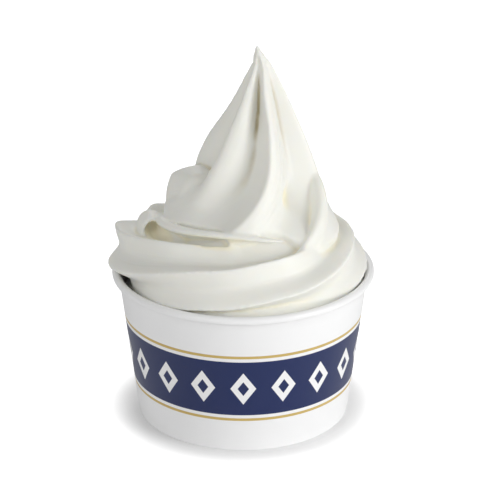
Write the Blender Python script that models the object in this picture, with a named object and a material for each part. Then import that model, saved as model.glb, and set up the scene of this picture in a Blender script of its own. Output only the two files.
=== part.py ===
"""A paper cup of frozen yogurt, piped through a star nozzle into a tall swirl.

Three solids stand together, +Z up, with the origin on the table under the middle of the cup:
  cup_wall       the paper side wall, with its rolled rim and its folded foot
  cup_base       the recessed paper bottom, whose skirt sits in the fold of the foot
  frozen_yogurt  one body: the filling, the coil that lies round the rim, the twisted peak,
                 and the small curl and lips where the soft rope was laid down and cut off

Azimuths are in degrees: 0 is the front (-Y), 90 the right (+X), -90 the left (-X).
"""
import math

import bmesh
import bpy

MM = 0.001

# ---- driving dimensions, in millimetres -------------------------------------------------
CUP_SEGMENTS = 64          # flats round the cup
FOOT_RADIUS = 38.4         # outside of the wall where it stands
RIM_RADIUS = 46.0          # middle of the rolled rim
RIM_HEIGHT = 54.2          # middle of the rolled rim above the table
ROLL_RADIUS = 1.5          # radius of the rolled bead
PAPER = 0.8                # thickness of the board
GAP = 0.3                  # clearance between solids that touch
FOLD_HEIGHT = 5.0          # how far the foot is folded up inside
BASE_HEIGHT = 6.2          # underside of the recessed bottom

ROPE_RIDGES = 6            # points of the star nozzle
COIL_STEP = 7              # degrees between two rings of the coil
COIL_SIDES = 30            # points round the rope
COIL_SPLIT = 110           # azimuth where the lower round ends and the upper one begins
COIL_END = 0.12            # how much the rope draws in at an end
COIL_LEAN = 1.0            # how far the coil's ridges fold over, where 1 is upright
# The rope's middle line: azimuth, radius from the axis, height, rope radius, turn of ridge A, and
# the depth of the grooves as a share of the rope radius.
COIL_STATIONS = [
    (-205, 31.0, 48.0, 10.0, -50, 0.34),
    (-150, 33.5, 56.0, 13.0, -12, 0.34),
    (-90, 35.6, 62.0, 14.3, 42, 0.34),
    (-15, 32.0, 61.2, 14.1, 103, 0.34),
    (20, 31.8, 60.8, 13.9, 124, 0.34),
    (80, 31.8, 59.2, 13.6, 170, 0.34),
    (135, 30.5, 58.0, 13.2, 200, 0.34),
    (180, 27.0, 64.5, 13.0, 225, 0.30),
    (265, 17.2, 83.0, 11.0, 282, 0.06),
    (288, 15.0, 84.5, 9.0, 300, 0.04),
    (315, 8.0, 82.0, 5.0, 320, 0.04),
]

FILLING_GAP = 0.4          # clearance of the filling inside the wall
FILLING_SHOULDER = 48.5    # the filling touches the wall up to here
# Above it the filling draws in to the core inside the coil: radius and height.
FILLING_CORE = [(43.6, 53.6), (40.0, 56.5), (35.0, 62.0), (31.0, 71.5), (26.0, 75.5)]
FILLING_LOW = (7.0, -85, 45)        # it stays lower at the left: how far, where, how wide

PEAK_TOP = 140.2           # height of the apex
PEAK_FOOT = 79.5           # height of the peak's lower edge
PEAK_RADIUS = 29.5         # radius of the lower edge
RIDGE_LEAN = 1.75          # how far the peak's ridges fold over, where 1 is upright
PEAK_GROOVE = 0.40         # groove depth, as a share of the radius
FOOT_GROOVE = 0.42         # how much of that is left at the foot
PEAK_SIDES = 60
PEAK_ROWS = 23
RIDGE_SPREAD = 6           # degrees by which the ridges opposite the first one stand on
PEAK_FIRST_RIDGE = -51     # azimuth of the first ridge on the upper peak
PEAK_TWIST = -25           # how far the ridges trail at the foot
LEFT_TRAIL = 1.05          # how much more they trail on the left
RIGHT_TRAIL = 0.25         # and on the right
TWIST_HEIGHT = 24.0        # the ridges stand straight above this height over the foot
PEAK_OFFSET = 2.3          # how far right the peak's foot lies
PEAK_LEAN = 4.3            # how much further its shoulder leans to the right
TIP_CURL = 1.8             # how far the tip curls back
# Where the soft foot gave way: how much, round which azimuth, over how many degrees.
FOOT_SPREAD = (4.2, -62, 26)        # it spreads further out, in millimetres
FOOT_DIP = (8.0, 66, 36)            # it dips over the coil, in millimetres
SHOULDER_FILL = (0.85, 84, 38)      # its grooves are pressed flat, as a share of their depth
# Near the tip the second ridge is drawn towards the first, and a narrow seam parts the two.
DRAW_IN = (9.0, 12, 30)             # degrees
DRAW_IN_START = 0.5
SEAM = (0.42, -14, 11)              # depth as a share of the radius
SEAM_START = 0.42
# Dents and bulges: how far out, azimuth, width in degrees, height, reach up and down.
RELIEF = [(-3.0, 46, 10, 86.0, 5.0), (4.0, 42, 12, 76.5, 3.5), (-5.5, -66, 9, 96.0, 8.0),
          (1.3, -105, 25, 104.0, 9.0)]
PEAK_UNDER = [(0.55, 18.0), (0.93, 6.0), (0.985, 2.0)]    # the tuck under the foot: share, drop

# Soft folds left where the rope folded over itself: how much wider than thick, then azimuth,
# radius, height and half-thickness at each station.
FOLDS = {
    "lip": (1.4, [(-86, 29.2, 76.4, 0.4), (-70, 30.9, 77.2, 1.4), (-52, 31.0, 78.0, 1.5),
                  (-36, 29.9, 78.4, 1.4), (-18, 29.1, 78.8, 1.2), (0, 29.1, 78.4, 1.1),
                  (16, 29.9, 77.2, 0.9), (28, 30.8, 76.2, 0.4)]),
    "petal": (0.5, [(92, 21.0, 93.0, 1.0), (82, 25.0, 88.0, 6.0), (70, 28.0, 82.5, 8.0),
                    (60, 30.6, 78.0, 6.5), (50, 32.3, 75.0, 4.5), (40, 33.4, 72.6, 2.6),
                    (31, 33.8, 71.0, 0.6)]),
}
FOLD_SIDES = 8
FOLD_STEPS = 14
# The curl stands on the coil's crest at the left: its middle, its bend and its sheet.
CURL_AZIMUTH = -80
CURL_RADIUS = 33.3
CURL_HEIGHT = 73.5
CURL_BEND = 3.9
CURL_THICKNESS = 1.3
CURL_WIDTH = 4.6
CURL_START = 215           # degrees, from the middle: 180 is outward, 90 up
CURL_SWEEP = 245
# The hollow under the curl runs on towards the front, with the same four sizes as a fold.
CURL_HOLLOW = [(-92, 33.8, 73.8, 1.6), (-80, 33.4, 73.6, 2.4), (-70, 32.8, 73.4, 2.6),
               (-62, 32.0, 73.6, 2.2), (-50, 31.0, 74.8, 1.7), (-35, 30.4, 75.8, 1.5),
               (-18, 30.2, 76.2, 1.5), (-4, 30.2, 76.2, 1.4), (8, 30.4, 75.2, 1.1),
               (18, 30.6, 74.2, 0.4)]


def clear_scene():
    for item in list(bpy.data.objects):
        bpy.data.objects.remove(item)


def smoothstep(share):
    share = min(max(share, 0.0), 1.0)
    return share * share * (3 - 2 * share)


def place(azimuth, radius, height):
    """A point in metres from an azimuth in degrees, a radius and a height in millimetres."""
    turn = math.radians(azimuth)
    return (radius * math.sin(turn) * MM, -radius * math.cos(turn) * MM, height * MM)


def material(name, colour, roughness):
    look = bpy.data.materials.new(name)
    look.use_nodes = True
    shader = look.node_tree.nodes["Principled BSDF"]
    shader.inputs["Base Color"].default_value = (*colour, 1.0)
    shader.inputs["Roughness"].default_value = roughness
    return look


def add_object(name, bm, look=None):
    """Face a bmesh outward, and link it as one object."""
    bmesh.ops.recalc_face_normals(bm, faces=bm.faces)
    mesh = bpy.data.meshes.new(name)
    bm.to_mesh(mesh)
    bm.free()
    made = bpy.data.objects.new(name, mesh)
    bpy.context.scene.collection.objects.link(made)
    if look:
        mesh.materials.append(look)
    return made


def loft(name, rings, look=None):
    """Skin a row of closed rings of points, and close both ends with a fan."""
    bm = bmesh.new()
    rows = [[bm.verts.new(point) for point in ring] for ring in rings]
    count = len(rows[0])
    for low, high in zip(rows, rows[1:]):
        for i in range(count):
            j = (i + 1) % count
            bm.faces.new((low[i], low[j], high[j], high[i]))
    for row in (rows[0], rows[-1]):
        middle = [sum(vert.co[axis] for vert in row) / count for axis in range(3)]
        hub = bm.verts.new(middle)
        for i in range(count):
            bm.faces.new((row[i], row[(i + 1) % count], hub))
    return add_object(name, bm, look)


def turned(name, profile, look=None):
    """Spin a closed outline of (radius, height) round the cup's axis into a ring."""
    bm = bmesh.new()
    verts = [bm.verts.new(place(90, r, z)) for r, z in profile]
    edges = [bm.edges.new((a, b)) for a, b in zip(verts, verts[1:] + verts[:1])]
    bmesh.ops.spin(bm, geom=verts + edges, cent=(0, 0, 0), axis=(0, 0, 1),
                   angle=2 * math.pi, steps=CUP_SEGMENTS, use_merge=True)
    return add_object(name, bm, look)


def arc(radius, height, size, start, stop, steps):
    """Points of an arc in the (radius, height) plane, from start to stop degrees."""
    points = []
    for step in range(steps + 1):
        turn = math.radians(start + (stop - start) * step / steps)
        points.append((radius + size * math.cos(turn), height + size * math.sin(turn)))
    return points


# ---- the cup ----------------------------------------------------------------------------
def inner_radius(height):
    """Inside of the side wall at a height: straight from the foot to the rolled rim."""
    foot = FOOT_RADIUS - PAPER
    top = RIM_RADIUS - ROLL_RADIUS
    return foot + (top - foot) * height / RIM_HEIGHT


def build_cup_wall(look):
    """The wall runs up to the rolled rim, and folds inward and up again at the foot."""
    join = RIM_HEIGHT - ROLL_RADIUS
    roll = arc(RIM_RADIUS, RIM_HEIGHT, ROLL_RADIUS, -120, 180, 10)
    fold_out = inner_radius(FOLD_HEIGHT) - PAPER - 2 * GAP
    fold_in = fold_out - PAPER
    channel_foot = FOOT_RADIUS - PAPER
    profile = [(FOOT_RADIUS, 0.0), (inner_radius(join) + PAPER, join)] + roll
    profile += [(channel_foot, PAPER), (fold_out, PAPER), (fold_out, FOLD_HEIGHT)]
    profile += [(fold_in, FOLD_HEIGHT), (fold_in, 0.0)]
    return turned("cup_wall", profile, look)


def round_rings(outline):
    """One round ring of points for each (radius, height) of an outline."""
    turns = [360 * i / CUP_SEGMENTS for i in range(CUP_SEGMENTS)]
    return [[place(turn, r, z) for turn in turns] for r, z in outline]


def build_cup_base(look):
    """A shallow dish, upside down: a flat bottom with a skirt that hangs in the fold."""
    top = BASE_HEIGHT + PAPER
    skirt_foot = PAPER + GAP
    skirt_out = inner_radius(skirt_foot) - GAP
    skirt_in = inner_radius(FOLD_HEIGHT) - PAPER - GAP
    outline = [(skirt_in, BASE_HEIGHT), (skirt_in, skirt_foot)]
    outline += [(skirt_out, skirt_foot), (inner_radius(top) - GAP, top)]
    return loft("cup_base", round_rings(outline), look)


def build_clearance():
    """Everything that the cup takes up, grown by the gap, out past the widest ridge."""
    beyond = RIM_RADIUS + 20
    profile = [(inner_radius(-5.0) - GAP, -5.0)]
    profile += [(inner_radius(RIM_HEIGHT) - GAP, RIM_HEIGHT)]
    profile += arc(RIM_RADIUS, RIM_HEIGHT, ROLL_RADIUS + GAP, 170, 10, 8)
    profile += [(RIM_RADIUS + ROLL_RADIUS + GAP, RIM_HEIGHT), (beyond, RIM_HEIGHT), (beyond, -5.0)]
    return turned("clearance", profile)


# ---- the frozen yogurt ------------------------------------------------------------------
def groove(share, lean):
    """Depth of a groove, 0 to 1, over the share of the way from one ridge to the next.

    A lean of 1 is an even groove. With more, the fall from the first ridge is gentle and the
    rise to the second is steep, which is how a soft ridge folds over as the rope turns.
    """
    return math.sin(math.pi * share ** lean)


def station(azimuth):
    """The rope's radius, height, thickness, turn and groove, eased between the stations."""
    for here, there in zip(COIL_STATIONS, COIL_STATIONS[1:]):
        if azimuth <= there[0]:
            break
    share = (azimuth - here[0]) / (there[0] - here[0])
    blend = 0.5 * share + 0.5 * smoothstep(share)
    return [a + (b - a) * blend for a, b in zip(here[1:], there[1:])]


def build_coil(first, last):
    """A stretch of the star-shaped rope, with both ends rounded in."""
    rings = []
    steps = round((last - first) / COIL_STEP)
    for step in range(steps + 1):
        azimuth = first + (last - first) * step / steps
        radius, height, size, turn, depth = station(azimuth)
        size *= 1 - COIL_END * max(0.0, 1 - min(step, steps - step) / 2)
        ring = []
        for i in range(COIL_SIDES):
            reach = size * (1 - depth * groove(i * ROPE_RIDGES / COIL_SIDES % 1.0, COIL_LEAN))
            around = math.radians(turn - 360 * i / COIL_SIDES)
            out = radius + reach * math.cos(around)
            ring.append(place(azimuth, out, height + reach * math.sin(around)))
        rings.append(ring)
    return loft("coil", rings)


def peak_middle(height):
    """How far right the peak's middle lies at a height."""
    share = (height - PEAK_FOOT) / (PEAK_TOP - PEAK_FOOT)
    lean = PEAK_LEAN * math.sin(math.pi / 2 * min(max(share, 0.0) / 0.75, 1.0))
    return PEAK_OFFSET + lean - TIP_CURL * smoothstep((share - 0.85) / 0.15)


def near(azimuth, effect):
    """How strong a local effect (amount, azimuth, width) is at an azimuth."""
    amount, middle, width = effect
    return amount * math.exp(-(((azimuth - middle) / width) ** 2))


def peak_foot(azimuth):
    """Height of the peak's lower edge: it dips, with steep ends, where it lies over the coil."""
    amount, middle, width = FOOT_DIP
    return PEAK_FOOT - amount * math.exp(-(((azimuth - middle) / width) ** 4))


def wrapped(angle):
    """The same angle between -180 and 180 degrees."""
    return (angle + 180) % 360 - 180


def ridge_azimuths(turn, rise):
    """Where a line a given turn from the first ridge stands: high on the peak, and at a rise.

    The ridges in front stand a little wider apart, and all of them trail towards the foot.
    """
    straight = PEAK_FIRST_RIDGE + turn + RIDGE_SPREAD * (1 - math.cos(math.radians(turn)))
    trail = PEAK_TWIST * max(0.0, 1 - (PEAK_TOP - PEAK_FOOT) * rise / TWIST_HEIGHT) ** 2
    side = math.sin(math.radians(straight))
    trail *= 1 + LEFT_TRAIL * max(0.0, -side) + RIGHT_TRAIL * max(0.0, side)
    drawn = near(wrapped(straight), DRAW_IN) * smoothstep((rise - DRAW_IN_START) / 0.3)
    return wrapped(straight), wrapped(straight + trail - drawn)


def peak_point(turn, rise, shrink=1.0, drop=0.0):
    """A point on the peak, where rise runs from 0 at the lower edge to 1 at the apex."""
    straight, azimuth = ridge_azimuths(turn, rise)
    foot = peak_foot(azimuth)
    height = foot + (PEAK_TOP - foot) * rise
    depth = PEAK_GROOVE * smoothstep(FOOT_GROOVE + 2.4 * rise) * (1 + 0.25 * rise)
    depth *= 1 - near(azimuth, SHOULDER_FILL) * (1 - rise) ** 2
    depth *= groove(turn / 360 * ROPE_RIDGES % 1.0, RIDGE_LEAN)
    depth += near(straight, SEAM) * smoothstep((rise - SEAM_START) / 0.2)
    radius = PEAK_RADIUS * (PEAK_TOP - height) / (PEAK_TOP - PEAK_FOOT) * (1 - depth)
    radius += near(azimuth, FOOT_SPREAD) * (1 - rise) ** 14
    for amount, middle, width, level, reach in RELIEF:
        away = ((azimuth - middle) / width) ** 2 + ((height - level) / reach) ** 2
        radius += amount * math.exp(-away)
    x, y, z = place(azimuth, radius * shrink, height - drop)
    return (x + peak_middle(height) * MM, y, z)


def build_peak():
    """The twisted star cone, with its lower edge tucked under like a lip."""
    turns = [360 * i / PEAK_SIDES for i in range(PEAK_SIDES)]
    rings = [[peak_point(turn, 0.0, shrink, drop) for turn in turns] for shrink, drop in PEAK_UNDER]
    for row in range(PEAK_ROWS):
        rise = 0.995 * row / (PEAK_ROWS - 1)
        rings.append([peak_point(turn, rise) for turn in turns])
    return loft("peak", rings)


def fold_point(stations, share):
    """A point a share of the way along a fold, on a smooth curve through its stations."""
    spans = len(stations) - 1
    here = min(int(share * spans), spans - 1)
    part = share * spans - here
    ends = [stations[max(0, min(spans, here + k))] for k in (-1, 0, 1, 2)]
    values = []
    for a, b, c, d in zip(*ends):
        bend = (2 * a - 5 * b + 4 * c - d) * part ** 2 + (3 * b - a - 3 * c + d) * part ** 3
        values.append(b + 0.5 * ((c - a) * part + bend))
    return values


def build_fold(name, widen, stations):
    """A rounded fold that lies on the swirl and tapers to both ends."""
    rings = []
    for step in range(FOLD_STEPS + 1):
        azimuth, radius, height, half = fold_point(stations, step / FOLD_STEPS)
        ring = []
        for i in range(FOLD_SIDES):
            around = 2 * math.pi * i / FOLD_SIDES
            out = radius + widen * half * math.cos(around)
            ring.append(place(azimuth, out, height + half * math.sin(around)))
        rings.append(ring)
    return loft(name, rings)


def build_curl():
    """A sheet of yogurt curled over like a hook, open towards the front."""
    rings = []
    for step in range(FOLD_STEPS + 1):
        bend = math.radians(CURL_START - CURL_SWEEP * step / FOLD_STEPS)
        ring = []
        for i in range(FOLD_SIDES):
            around = 2 * math.pi * (i + 0.5) / FOLD_SIDES
            reach = CURL_BEND + CURL_THICKNESS * math.cos(around)
            sweep = math.degrees(CURL_WIDTH * math.sin(around) / CURL_RADIUS)
            radius = CURL_RADIUS - reach * math.cos(bend)
            ring.append(place(CURL_AZIMUTH + sweep, radius, CURL_HEIGHT + reach * math.sin(bend)))
        rings.append(ring)
    return loft("curl", rings)


def build_filling():
    """What fills the cup under the coil, and the core that the coil is laid round."""
    foot = BASE_HEIGHT + PAPER + GAP
    outline = [(inner_radius(z) - FILLING_GAP, z) for z in (foot, FILLING_SHOULDER)]
    turns = [360 * i / CUP_SEGMENTS - 180 for i in range(CUP_SEGMENTS)]
    rings = []
    for radius, height in outline + FILLING_CORE:
        ring = []
        for turn in turns:
            level = height - near(turn, FILLING_LOW) * smoothstep((height - 40) / 8)
            ring.append(place(turn, min(radius, inner_radius(level) - FILLING_GAP), level))
        rings.append(ring)
    return loft("filling", rings)


def apply_boolean(body, operation, other):
    """Join or cut a body with another object, and drop the other object."""
    step = body.modifiers.new(operation.lower(), "BOOLEAN")
    step.operation = operation
    step.solver = "MANIFOLD"
    step.object = other
    evaluated = body.evaluated_get(bpy.context.evaluated_depsgraph_get())
    mesh = bpy.data.meshes.new_from_object(evaluated)
    body.modifiers.clear()
    body.data = mesh
    bpy.data.objects.remove(other)


def keep_outer_skin(body):
    """Drop the loose scraps and the sealed hollows that joining soft folds leaves behind."""
    bm = bmesh.new()
    bm.from_mesh(body.data)
    pieces, seen = [], set()
    for start in bm.verts:
        if start in seen:
            continue
        piece, front = [], [start]
        seen.add(start)
        while front:
            vert = front.pop()
            piece.append(vert)
            for edge in vert.link_edges:
                other = edge.other_vert(vert)
                if other not in seen:
                    seen.add(other)
                    front.append(other)
        pieces.append(piece)
    pieces.sort(key=len)
    bmesh.ops.delete(bm, geom=[vert for piece in pieces[:-1] for vert in piece], context="VERTS")
    bm.to_mesh(body.data)
    bm.free()


def build_yogurt(look):
    body = build_filling()
    start, end = COIL_STATIONS[0][0], COIL_STATIONS[-1][0]
    pieces = [build_coil(start, COIL_SPLIT + 20), build_coil(COIL_SPLIT, end)]
    pieces += [build_peak(), build_curl()]
    pieces += [build_fold(name, widen, stations) for name, (widen, stations) in FOLDS.items()]
    for piece in pieces:
        apply_boolean(body, "UNION", piece)
    for taken in (build_fold("curl_hollow", 1.0, CURL_HOLLOW), build_clearance()):
        apply_boolean(body, "DIFFERENCE", taken)
    keep_outer_skin(body)
    body.name = "frozen_yogurt"
    body.data.materials.clear()
    body.data.materials.append(look)
    body.data.shade_smooth()
    return body


def main():
    clear_scene()
    wall = build_cup_wall(material("coated_paper", (0.86, 0.86, 0.85), 0.45))
    base = build_cup_base(material("base_paper", (0.84, 0.84, 0.83), 0.55))
    for made in (wall, base):
        made.data.shade_smooth()
        made.data.set_sharp_from_angle(angle=math.radians(40))
    build_yogurt(material("plain_yogurt", (0.88, 0.87, 0.80), 0.45))


main()
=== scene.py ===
# %% [markdown]
# # A paper cup of frozen yogurt, piped into a tall swirl
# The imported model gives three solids: the cup's wall, its base and the yogurt. They hold the true
# sizes. This script dresses them: a smooth printed paper cup, and a fine skin of soft yogurt that is
# piped again by the same rules, with many more points.

# %% Load the frame
import math

import bmesh
import bpy
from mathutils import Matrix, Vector


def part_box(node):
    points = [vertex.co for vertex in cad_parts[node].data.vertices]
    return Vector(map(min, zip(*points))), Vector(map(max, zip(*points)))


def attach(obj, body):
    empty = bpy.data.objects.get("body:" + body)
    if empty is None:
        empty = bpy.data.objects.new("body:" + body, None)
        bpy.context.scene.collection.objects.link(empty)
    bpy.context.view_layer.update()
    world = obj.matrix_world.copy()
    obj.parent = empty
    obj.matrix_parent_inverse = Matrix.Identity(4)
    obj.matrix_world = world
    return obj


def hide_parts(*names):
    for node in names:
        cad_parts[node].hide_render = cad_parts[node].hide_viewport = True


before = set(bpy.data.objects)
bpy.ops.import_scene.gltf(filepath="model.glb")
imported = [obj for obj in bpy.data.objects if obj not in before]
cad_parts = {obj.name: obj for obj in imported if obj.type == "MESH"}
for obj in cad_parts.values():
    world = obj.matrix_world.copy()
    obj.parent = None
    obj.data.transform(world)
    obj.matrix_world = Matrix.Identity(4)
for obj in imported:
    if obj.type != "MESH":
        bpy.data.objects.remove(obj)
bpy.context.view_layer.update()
MM = 0.001
print("nodes:", sorted(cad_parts))

# %% [markdown]
# ## The sizes
# Everything below is worked out from these few sizes, in millimetres and degrees. An azimuth of 0 is
# the front (-Y), 90 is the right and -90 the left. The cup's own sizes come from the model's box, so
# that the paper stands exactly where the solid cup stands.

# %% Sizes of the cup
wall_low, wall_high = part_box("cup_wall")
ROLL_RADIUS = 1.5
PAPER = 0.8
GAP = 0.3
FOLD_HEIGHT = 5.0
BASE_HEIGHT = 6.2
FOOT_RADIUS = 38.4
RIM_RADIUS = wall_high.x / MM - ROLL_RADIUS
RIM_HEIGHT = wall_high.z / MM - ROLL_RADIUS
print(f"rim {RIM_RADIUS:.2f} mm from the axis, {RIM_HEIGHT:.2f} mm up")

# %% Sizes of the swirl
ROPE_RIDGES = 6
COIL_SPLIT = 110
COIL_OVERLAP = 20
COIL_END = 0.12
COIL_END_REACH = 14
COIL_LEAN = 1.0
# The rope's middle line: azimuth, radius from the axis, height, rope radius, turn of its first
# ridge, and how deep its hollows are, as a share of the rope radius.
COIL_STATIONS = [
    (-205, 31.0, 48.0, 10.0, -50, 0.34),
    (-150, 33.5, 56.0, 13.0, -12, 0.34),
    (-90, 35.6, 62.0, 14.3, 42, 0.34),
    (-15, 32.0, 61.2, 14.1, 103, 0.34),
    (20, 31.8, 60.8, 13.9, 124, 0.34),
    (80, 31.8, 59.2, 13.6, 170, 0.34),
    (135, 30.5, 58.0, 13.2, 200, 0.34),
    (180, 27.0, 64.5, 13.0, 225, 0.30),
    (265, 17.2, 83.0, 11.0, 282, 0.06),
    (288, 15.0, 84.5, 9.0, 300, 0.04),
    (315, 8.0, 82.0, 5.0, 320, 0.04),
]
FILLING_GAP = 0.4
FILLING_SHOULDER = 48.5
FILLING_CORE = [(43.6, 53.6), (40.0, 56.5), (35.0, 62.0), (31.0, 71.5), (26.0, 75.5)]
FILLING_LOW = (7.0, -85, 45)
FILLING_SIDES = 192
SINK_FROM = 40
SINK_REACH = 8

# A local effect is an amount, an azimuth and a width, and for some a height and its reach.
PEAK = {
    "Top": 140.2,
    "Foot": 79.5,
    "Radius": 29.5,
    "Ridges": 6,
    "Groove": 0.40,
    "Foot Groove": 0.42,
    "Lean": 1.75,
    "First Ridge": -51,
    "Spread": 6,
    "Twist": -25,
    "Left Trail": 1.05,
    "Right Trail": 0.25,
    "Twist Height": 24.0,
    "Offset": 2.3,
    "Shift": 4.3,
    "Tip Curl": 1.8,
    "Foot Spread": (4.2, -62, 26),
    "Foot Dip": (8.0, 66, 36),
    "Shoulder Fill": (0.85, 84, 38),
    "Dent": (-3.0, 46, 10, 86.0, 5.0),
    "Fold": (4.0, 42, 12, 76.5, 3.5),
    "Crease": (-5.5, -66, 9, 96.0, 8.0),
    "Seam": (0.42, -14, 11),
    "Seam End": 0.42,
    "Draw In": (9.0, 12, 30),
    "Draw In Start": 0.5,
    "Bulge": (1.3, -105, 25, 104.0, 9.0),
}
PEAK_UNDER = [(0.0, 18.0), (0.55, 18.0), (0.93, 6.0), (0.985, 2.0)]
# Soft folds: azimuth, radius, height and half-thickness at each station, and how much wider than
# thick each one is.
FOLDS = {
    "lip": (1.4, [(-86, 29.2, 76.4, 0.4), (-70, 30.9, 77.2, 1.4), (-52, 31.0, 78.0, 1.5),
                  (-36, 29.9, 78.4, 1.4), (-18, 29.1, 78.8, 1.2), (0, 29.1, 78.4, 1.1),
                  (16, 29.9, 77.2, 0.9), (28, 30.8, 76.2, 0.4)]),
    "petal": (0.5, [(92, 21.0, 93.0, 1.0), (82, 25.0, 88.0, 6.0), (70, 28.0, 82.5, 8.0),
                    (60, 30.6, 78.0, 6.5), (50, 32.3, 75.0, 4.5), (40, 33.4, 72.6, 2.6),
                    (31, 33.8, 71.0, 0.6)]),
}
# The hollow inside the curl, and the narrow gap that runs on from it under the foot.
CURL_HOLLOW = [(-92, 33.8, 73.8, 1.6), (-80, 33.4, 73.6, 2.4), (-70, 32.8, 73.4, 2.6),
               (-62, 32.0, 73.6, 2.2), (-50, 31.0, 74.8, 1.7), (-35, 30.4, 75.8, 1.5),
               (-18, 30.2, 76.2, 1.5), (-4, 30.2, 76.2, 1.4), (8, 30.4, 75.2, 1.1),
               (18, 30.6, 74.2, 0.4)]
CURL_AZIMUTH = -80
CURL_RADIUS = 33.3
CURL_HEIGHT = 73.5
CURL_BEND = 3.9
CURL_THICKNESS = 1.3
CURL_WIDTH = 4.6
CURL_START = 215
CURL_SWEEP = 245
print("the peak stands", PEAK["Top"] - PEAK["Foot"], "mm over its foot")

# %% [markdown]
# ## Sums that become nodes
# Both node editors have the same Math node, and a rule such as a star's outline takes dozens of them.
# Placing each by hand hides the rule. So a small class stands for a number that nodes will work out:
# Python's own signs add the nodes, and the rule stays readable as a sum.


# %% A number made of Math nodes
class Number:
    """A value in a node tree. Its signs and methods add Math nodes, and give the result."""

    def __init__(self, tree, socket):
        self.tree = tree
        self.socket = socket

    def math(self, operation, *others):
        node = self.tree.nodes.new("ShaderNodeMath")
        node.operation = operation
        for place, value in zip(node.inputs, (self, *others)):
            feed(self.tree, place, value)
        return Number(self.tree, node.outputs[0])

    def __rsub__(self, other):
        return self * -1 + other

    def limit(self):
        return self.most(0.0).least(1.0)

    def smooth(self):
        """The soft step: 0 below 0, 1 above 1, and level at both ends."""
        share = self.limit()
        return share * share * (3 - 2 * share)

    def radians(self):
        return self * (math.pi / 180)


SIGNS = {
    "__add__": "ADD", "__radd__": "ADD", "__sub__": "SUBTRACT", "__mul__": "MULTIPLY",
    "__rmul__": "MULTIPLY", "__truediv__": "DIVIDE", "__pow__": "POWER", "sin": "SINE",
    "cos": "COSINE", "exp": "EXPONENT", "part": "FRACT", "size": "ABSOLUTE",
    "least": "MINIMUM", "most": "MAXIMUM",
}
for sign, operation in SIGNS.items():
    setattr(Number, sign, lambda self, *others, kind=operation: self.math(kind, *others))


def feed(tree, place, value):
    """Give an input a number, a socket or a plain value."""
    if isinstance(value, Number):
        tree.links.new(value.socket, place)
    elif isinstance(value, bpy.types.NodeSocket):
        tree.links.new(value, place)
    else:
        place.default_value = value


def add(tree, kind, inputs=None, **settings):
    """Add one node, with its settings and its inputs by name."""
    node = tree.nodes.new(kind)
    for name, value in settings.items():
        setattr(node, name, value)
    for name, value in (inputs or {}).items():
        feed(tree, node.inputs[name], value)
    return node


def axes(tree, vector):
    """The three parts of a vector."""
    parts = add(tree, "ShaderNodeSeparateXYZ", {"Vector": vector})
    return [Number(tree, parts.outputs[axis]) for axis in "XYZ"]


def stretched(tree, flow, across, along):
    """The flow as a place in noise, scaled across the rope and along it."""
    scales = zip("XYZ", axes(tree, flow), (across, across, along))
    scaled = {axis: part * scale for axis, part, scale in scales}
    return add(tree, "ShaderNodeCombineXYZ", scaled).outputs[0]


print("Number turns Python sums into nodes")


# %% [markdown]
# ## Trees with named inputs
# A Geometry Nodes tree is a small machine: its sizes go in by name, and a shape comes out. The
# helpers below start a tree, run it once on an object, and keep the result as a plain mesh. A
# modifier knows its inputs by identifier, so the name is looked up in the tree's interface.


# %% Start a tree and run it
SOCKETS = {int: "NodeSocketInt", float: "NodeSocketFloat"}


def start_tree(name, sizes):
    """A tree that takes one shape and named sizes. A size of several parts becomes several inputs."""
    tree = bpy.data.node_groups.new(name, "GeometryNodeTree")
    tree.interface.new_socket("Geometry", in_out="INPUT", socket_type="NodeSocketGeometry")
    tree.interface.new_socket("Geometry", in_out="OUTPUT", socket_type="NodeSocketGeometry")
    tree.interface.new_socket("Material", in_out="INPUT", socket_type="NodeSocketMaterial")
    for label, value in flat_sizes(sizes).items():
        tree.interface.new_socket(label, in_out="INPUT", socket_type=SOCKETS[type(value)])
    into = tree.nodes.new("NodeGroupInput")
    numbers = {label: Number(tree, into.outputs[label]) for label in flat_sizes(sizes)}
    return tree, into, numbers


def flat_sizes(sizes):
    """Split each local effect into named sizes."""
    flat = {}
    for label, value in sizes.items():
        if isinstance(value, tuple):
            for ending, item in zip(("", " Azimuth", " Width", " Height", " Reach"), value):
                flat[label + ending] = float(item)
        else:
            flat[label] = value if label == "Sides" else float(value)
    return flat


def end_tree(tree, into, geometry):
    """Finish as the export needs it: real geometry, with its material set."""
    real = add(tree, "GeometryNodeRealizeInstances", {"Geometry": geometry})
    dressed = add(tree, "GeometryNodeSetMaterial", {"Geometry": real.outputs[0]})
    tree.links.new(into.outputs["Material"], dressed.inputs["Material"])
    out = tree.nodes.new("NodeGroupOutput")
    tree.links.new(dressed.outputs[0], out.inputs["Geometry"])


def set_input(modifier, label, value):
    """Set a modifier's input by the identifier that belongs to its name."""
    for item in modifier.node_group.interface.items_tree:
        if item.in_out == "INPUT" and item.name == label:
            modifier[item.identifier] = value


def bake(piece):
    """Turn what a piece's modifiers make into its own plain mesh."""
    evaluated = piece.evaluated_get(bpy.context.evaluated_depsgraph_get())
    mesh = bpy.data.meshes.new_from_object(evaluated)
    piece.modifiers.clear()
    piece.data = mesh
    return piece


def face_out(piece):
    """Turn a closed mesh's faces outward, as a Boolean needs them."""
    bm = bmesh.new()
    bm.from_mesh(piece.data)
    bmesh.ops.recalc_face_normals(bm, faces=bm.faces)
    bm.to_mesh(piece.data)
    bm.free()
    return piece


def run_tree(piece, tree, sizes, look=None):
    """Run a tree once on a piece, with its sizes by name."""
    modifier = piece.modifiers.new(tree.name, "NODES")
    modifier.node_group = tree
    set_input(modifier, "Material", look)
    for label, value in flat_sizes(sizes).items():
        set_input(modifier, label, value)
    return face_out(bake(piece))


def link(name, data):
    """Put a mesh, lamp or camera into the scene."""
    piece = bpy.data.objects.new(name, data)
    bpy.context.scene.collection.objects.link(piece)
    return piece


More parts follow.
